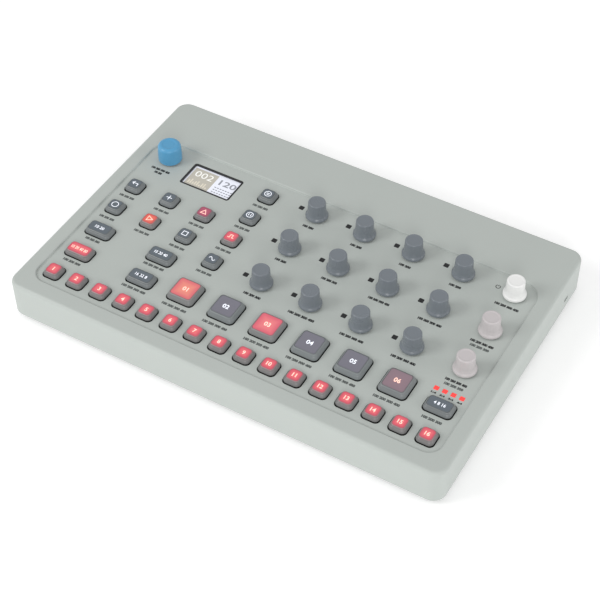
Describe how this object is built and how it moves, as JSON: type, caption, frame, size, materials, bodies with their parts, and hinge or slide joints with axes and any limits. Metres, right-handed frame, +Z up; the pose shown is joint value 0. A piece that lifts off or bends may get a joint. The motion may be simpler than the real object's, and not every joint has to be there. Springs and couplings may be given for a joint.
{
  "type": "drum machine",
  "caption": "Flat desktop drum machine with a sunk control panel, step keys, track pads, small display, rotary knobs and rear sockets.",
  "frame": {"origin": "under the middle of the case, on the surface that the feet stand on", "axes": "+Z up, +Y to the rear sockets, +X to the right of the player in front"},
  "size_m": [0.27, 0.18, 0.0378],
  "materials": {
    "case_plastic": "fine moulded texture, light sage grey",
    "base_plastic": "fine moulded texture, near black",
    "board": "solder mask",
    "window": "polished smoked plastic",
    "foot_rubber": "plain rubber",
    "screw_steel": "blackened steel",
    "key_plastic": "translucent dark grey, satin",
    "pad_plastic": "translucent dark grey, satin",
    "knob_grey": "soft-touch slate grey",
    "knob_white": "satin white",
    "knob_pale": "satin pale pinkish grey",
    "knob_blue": "satin blue",
    "shaft_steel": "turned steel"
  },
  "bodies": {
    "case": {"top_case": "case_plastic", "base_cover": "base_plastic", "circuit_boards": "board", "panel_windows": "window", "rubber_feet": "foot_rubber", "screws": "screw_steel"},
    "step_key_01": {"step_key_01": "key_plastic"},
    "step_key_02": {"step_key_02": "key_plastic"},
    "step_key_03": {"step_key_03": "key_plastic"},
    "step_key_04": {"step_key_04": "key_plastic"},
    "step_key_05": {"step_key_05": "key_plastic"},
    "step_key_06": {"step_key_06": "key_plastic"},
    "step_key_07": {"step_key_07": "key_plastic"},
    "step_key_08": {"step_key_08": "key_plastic"},
    "step_key_09": {"step_key_09": "key_plastic"},
    "step_key_10": {"step_key_10": "key_plastic"},
    "step_key_11": {"step_key_11": "key_plastic"},
    "step_key_12": {"step_key_12": "key_plastic"},
    "step_key_13": {"step_key_13": "key_plastic"},
    "step_key_14": {"step_key_14": "key_plastic"},
    "step_key_15": {"step_key_15": "key_plastic"},
    "step_key_16": {"step_key_16": "key_plastic"},
    "back_key": {"back_key": "key_plastic"},
    "save_key": {"save_key": "key_plastic"},
    "tempo_key": {"tempo_key": "key_plastic"},
    "record_key": {"record_key": "key_plastic"},
    "play_key": {"play_key": "key_plastic"},
    "stop_key": {"stop_key": "key_plastic"},
    "preset_key": {"preset_key": "key_plastic"},
    "quantize_key": {"quantize_key": "key_plastic"},
    "click_key": {"click_key": "key_plastic"},
    "lfo_key": {"lfo_key": "key_plastic"},
    "function_key": {"function_key": "key_plastic"},
    "retrig_key": {"retrig_key": "key_plastic"},
    "pattern_key": {"pattern_key": "key_plastic"},
    "track_key": {"track_key": "key_plastic"},
    "page_key": {"page_key": "key_plastic"},
    "track_pad_1": {"track_pad_1": "pad_plastic"},
    "track_pad_2": {"track_pad_2": "pad_plastic"},
    "track_pad_3": {"track_pad_3": "pad_plastic"},
    "track_pad_4": {"track_pad_4": "pad_plastic"},
    "track_pad_5": {"track_pad_5": "pad_plastic"},
    "track_pad_6": {"track_pad_6": "pad_plastic"},
    "pitch_knob": {"pitch_knob": "knob_grey"},
    "decay_knob": {"decay_knob": "knob_grey"},
    "color_knob": {"color_knob": "knob_grey"},
    "shape_knob": {"shape_knob": "knob_grey"},
    "main_volume_knob": {"main_volume_knob": "knob_white"},
    "sweep_knob": {"sweep_knob": "knob_grey"},
    "contour_knob": {"contour_knob": "knob_grey"},
    "delay_send_knob": {"delay_send_knob": "knob_grey"},
    "reverb_send_knob": {"reverb_send_knob": "knob_grey"},
    "reverb_size_knob": {"reverb_size_knob": "knob_pale"},
    "lfo_speed_knob": {"lfo_speed_knob": "knob_grey"},
    "volume_distortion_knob": {"volume_distortion_knob": "knob_grey"},
    "swing_knob": {"swing_knob": "knob_grey"},
    "chance_knob": {"chance_knob": "knob_grey"},
    "delay_time_knob": {"delay_time_knob": "knob_pale"},
    "level_data_knob": {"level_data_knob": "knob_blue"},
    "level_data_shaft": {"level_data_shaft": "shaft_steel"}
  },
  "joints": [
    {"name": "step_key_01_press", "type": "slide", "parent": "case", "child": "step_key_01", "axis": [0, 0, -1], "range_m": [0, 0.0012], "stiffness_N_per_m": 600, "springref_m": -0.0005},
    {"name": "step_key_02_press", "type": "slide", "parent": "case", "child": "step_key_02", "axis": [0, 0, -1], "range_m": [0, 0.0012], "stiffness_N_per_m": 600, "springref_m": -0.0005},
    {"name": "step_key_03_press", "type": "slide", "parent": "case", "child": "step_key_03", "axis": [0, 0, -1], "range_m": [0, 0.0012], "stiffness_N_per_m": 600, "springref_m": -0.0005},
    {"name": "step_key_04_press", "type": "slide", "parent": "case", "child": "step_key_04", "axis": [0, 0, -1], "range_m": [0, 0.0012], "stiffness_N_per_m": 600, "springref_m": -0.0005},
    {"name": "step_key_05_press", "type": "slide", "parent": "case", "child": "step_key_05", "axis": [0, 0, -1], "range_m": [0, 0.0012], "stiffness_N_per_m": 600, "springref_m": -0.0005},
    {"name": "step_key_06_press", "type": "slide", "parent": "case", "child": "step_key_06", "axis": [0, 0, -1], "range_m": [0, 0.0012], "stiffness_N_per_m": 600, "springref_m": -0.0005},
    {"name": "step_key_07_press", "type": "slide", "parent": "case", "child": "step_key_07", "axis": [0, 0, -1], "range_m": [0, 0.0012], "stiffness_N_per_m": 600, "springref_m": -0.0005},
    {"name": "step_key_08_press", "type": "slide", "parent": "case", "child": "step_key_08", "axis": [0, 0, -1], "range_m": [0, 0.0012], "stiffness_N_per_m": 600, "springref_m": -0.0005},
    {"name": "step_key_09_press", "type": "slide", "parent": "case", "child": "step_key_09", "axis": [0, 0, -1], "range_m": [0, 0.0012], "stiffness_N_per_m": 600, "springref_m": -0.0005},
    {"name": "step_key_10_press", "type": "slide", "parent": "case", "child": "step_key_10", "axis": [0, 0, -1], "range_m": [0, 0.0012], "stiffness_N_per_m": 600, "springref_m": -0.0005},
    {"name": "step_key_11_press", "type": "slide", "parent": "case", "child": "step_key_11", "axis": [0, 0, -1], "range_m": [0, 0.0012], "stiffness_N_per_m": 600, "springref_m": -0.0005},
    {"name": "step_key_12_press", "type": "slide", "parent": "case", "child": "step_key_12", "axis": [0, 0, -1], "range_m": [0, 0.0012], "stiffness_N_per_m": 600, "springref_m": -0.0005},
    {"name": "step_key_13_press", "type": "slide", "parent": "case", "child": "step_key_13", "axis": [0, 0, -1], "range_m": [0, 0.0012], "stiffness_N_per_m": 600, "springref_m": -0.0005},
    {"name": "step_key_14_press", "type": "slide", "parent": "case", "child": "step_key_14", "axis": [0, 0, -1], "range_m": [0, 0.0012], "stiffness_N_per_m": 600, "springref_m": -0.0005},
    {"name": "step_key_15_press", "type": "slide", "parent": "case", "child": "step_key_15", "axis": [0, 0, -1], "range_m": [0, 0.0012], "stiffness_N_per_m": 600, "springref_m": -0.0005},
    {"name": "step_key_16_press", "type": "slide", "parent": "case", "child": "step_key_16", "axis": [0, 0, -1], "range_m": [0, 0.0012], "stiffness_N_per_m": 600, "springref_m": -0.0005},
    {"name": "track_pad_1_press", "type": "slide", "parent": "case", "child": "track_pad_1", "axis": [0, 0, -1], "range_m": [0, 0.0012], "stiffness_N_per_m": 600, "springref_m": -0.0005},
    {"name": "track_pad_2_press", "type": "slide", "parent": "case", "child": "track_pad_2", "axis": [0, 0, -1], "range_m": [0, 0.0012], "stiffness_N_per_m": 600, "springref_m": -0.0005},
    {"name": "track_pad_3_press", "type": "slide", "parent": "case", "child": "track_pad_3", "axis": [0, 0, -1], "range_m": [0, 0.0012], "stiffness_N_per_m": 600, "springref_m": -0.0005},
    {"name": "track_pad_4_press", "type": "slide", "parent": "case", "child": "track_pad_4", "axis": [0, 0, -1], "range_m": [0, 0.0012], "stiffness_N_per_m": 600, "springref_m": -0.0005},
    {"name": "track_pad_5_press", "type": "slide", "parent": "case", "child": "track_pad_5", "axis": [0, 0, -1], "range_m": [0, 0.0012], "stiffness_N_per_m": 600, "springref_m": -0.0005},
    {"name": "track_pad_6_press", "type": "slide", "parent": "case", "child": "track_pad_6", "axis": [0, 0, -1], "range_m": [0, 0.0012], "stiffness_N_per_m": 600, "springref_m": -0.0005},
    {"name": "back_key_press", "type": "slide", "parent": "case", "child": "back_key", "axis": [0, 0, -1], "range_m": [0, 0.0012], "stiffness_N_per_m": 600, "springref_m": -0.0005},
    {"name": "save_key_press", "type": "slide", "parent": "case", "child": "save_key", "axis": [0, 0, -1], "range_m": [0, 0.0012], "stiffness_N_per_m": 600, "springref_m": -0.0005},
    {"name": "tempo_key_press", "type": "slide", "parent": "case", "child": "tempo_key", "axis": [0, 0, -1], "range_m": [0, 0.0012], "stiffness_N_per_m": 600, "springref_m": -0.0005},
    {"name": "record_key_press", "type": "slide", "parent": "case", "child": "record_key", "axis": [0, 0, -1], "range_m": [0, 0.0012], "stiffness_N_per_m": 600, "springref_m": -0.0005},
    {"name": "play_key_press", "type": "slide", "parent": "case", "child": "play_key", "axis": [0, 0, -1], "range_m": [0, 0.0012], "stiffness_N_per_m": 600, "springref_m": -0.0005},
    {"name": "stop_key_press", "type": "slide", "parent": "case", "child": "stop_key", "axis": [0, 0, -1], "range_m": [0, 0.0012], "stiffness_N_per_m": 600, "springref_m": -0.0005},
    {"name": "preset_key_press", "type": "slide", "parent": "case", "child": "preset_key", "axis": [0, 0, -1], "range_m": [0, 0.0012], "stiffness_N_per_m": 600, "springref_m": -0.0005},
    {"name": "quantize_key_press", "type": "slide", "parent": "case", "child": "quantize_key", "axis": [0, 0, -1], "range_m": [0, 0.0012], "stiffness_N_per_m": 600, "springref_m": -0.0005},
    {"name": "click_key_press", "type": "slide", "parent": "case", "child": "click_key", "axis": [0, 0, -1], "range_m": [0, 0.0012], "stiffness_N_per_m": 600, "springref_m": -0.0005},
    {"name": "lfo_key_press", "type": "slide", "parent": "case", "child": "lfo_key", "axis": [0, 0, -1], "range_m": [0, 0.0012], "stiffness_N_per_m": 600, "springref_m": -0.0005},
    {"name": "function_key_press", "type": "slide", "parent": "case", "child": "function_key", "axis": [0, 0, -1], "range_m": [0, 0.0012], "stiffness_N_per_m": 600, "springref_m": -0.0005},
    {"name": "retrig_key_press", "type": "slide", "parent": "case", "child": "retrig_key", "axis": [0, 0, -1], "range_m": [0, 0.0012], "stiffness_N_per_m": 600, "springref_m": -0.0005},
    {"name": "pattern_key_press", "type": "slide", "parent": "case", "child": "pattern_key", "axis": [0, 0, -1], "range_m": [0, 0.0012], "stiffness_N_per_m": 600, "springref_m": -0.0005},
    {"name": "track_key_press", "type": "slide", "parent": "case", "child": "track_key", "axis": [0, 0, -1], "range_m": [0, 0.0012], "stiffness_N_per_m": 600, "springref_m": -0.0005},
    {"name": "page_key_press", "type": "slide", "parent": "case", "child": "page_key", "axis": [0, 0, -1], "range_m": [0, 0.0012], "stiffness_N_per_m": 600, "springref_m": -0.0005},
    {"name": "pitch_knob_turn", "type": "hinge", "parent": "case", "child": "pitch_knob", "pos_m": [-0.01165, 0.04174, 0.0253], "axis": [0, 0, -1], "range_deg": [-150, 150]},
    {"name": "decay_knob_turn", "type": "hinge", "parent": "case", "child": "decay_knob", "pos_m": [0.01957, 0.04174, 0.0253], "axis": [0, 0, -1], "range_deg": [-150, 150]},
    {"name": "color_knob_turn", "type": "hinge", "parent": "case", "child": "color_knob", "pos_m": [0.05079, 0.04174, 0.0253], "axis": [0, 0, -1], "range_deg": [-150, 150]},
    {"name": "shape_knob_turn", "type": "hinge", "parent": "case", "child": "shape_knob", "pos_m": [0.08201, 0.04174, 0.0253], "axis": [0, 0, -1], "range_deg": [-150, 150]},
    {"name": "main_volume_knob_turn", "type": "hinge", "parent": "case", "child": "main_volume_knob", "pos_m": [0.11323, 0.04174, 0.0253], "axis": [0, 0, -1], "range_deg": [-150, 150]},
    {"name": "sweep_knob_turn", "type": "hinge", "parent": "case", "child": "sweep_knob", "pos_m": [-0.01165, 0.0108, 0.0253], "axis": [0, 0, -1], "range_deg": [-150, 150]},
    {"name": "contour_knob_turn", "type": "hinge", "parent": "case", "child": "contour_knob", "pos_m": [0.01957, 0.0108, 0.0253], "axis": [0, 0, -1], "range_deg": [-150, 150]},
    {"name": "delay_send_knob_turn", "type": "hinge", "parent": "case", "child": "delay_send_knob", "pos_m": [0.05079, 0.0108, 0.0253], "axis": [0, 0, -1], "range_deg": [-150, 150]},
    {"name": "reverb_send_knob_turn", "type": "hinge", "parent": "case", "child": "reverb_send_knob", "pos_m": [0.08201, 0.0108, 0.0253], "axis": [0, 0, -1], "range_deg": [-150, 150]},
    {"name": "reverb_size_knob_turn", "type": "hinge", "parent": "case", "child": "reverb_size_knob", "pos_m": [0.11323, 0.0108, 0.0253], "axis": [0, 0, -1], "range_deg": [-150, 150]},
    {"name": "lfo_speed_knob_turn", "type": "hinge", "parent": "case", "child": "lfo_speed_knob", "pos_m": [-0.01165, -0.02014, 0.0253], "axis": [0, 0, -1], "range_deg": [-150, 150]},
    {"name": "volume_distortion_knob_turn", "type": "hinge", "parent": "case", "child": "volume_distortion_knob", "pos_m": [0.01957, -0.02014, 0.0253], "axis": [0, 0, -1], "range_deg": [-150, 150]},
    {"name": "swing_knob_turn", "type": "hinge", "parent": "case", "child": "swing_knob", "pos_m": [0.05079, -0.02014, 0.0253], "axis": [0, 0, -1], "range_deg": [-150, 150]},
    {"name": "chance_knob_turn", "type": "hinge", "parent": "case", "child": "chance_knob", "pos_m": [0.08201, -0.02014, 0.0253], "axis": [0, 0, -1], "range_deg": [-150, 150]},
    {"name": "delay_time_knob_turn", "type": "hinge", "parent": "case", "child": "delay_time_knob", "pos_m": [0.11323, -0.02014, 0.0253], "axis": [0, 0, -1], "range_deg": [-150, 150]},
    {"name": "level_data_press", "type": "slide", "parent": "case", "child": "level_data_shaft", "axis": [0, 0, -1], "range_m": [0, 0.0006], "stiffness_N_per_m": 3000, "springref_m": -0.0005},
    {"name": "level_data_turn", "type": "hinge", "parent": "level_data_shaft", "child": "level_data_knob", "pos_m": [-0.1122, 0.0408, 0.0253], "axis": [0, 0, -1], "continuous": true}
  ]
}
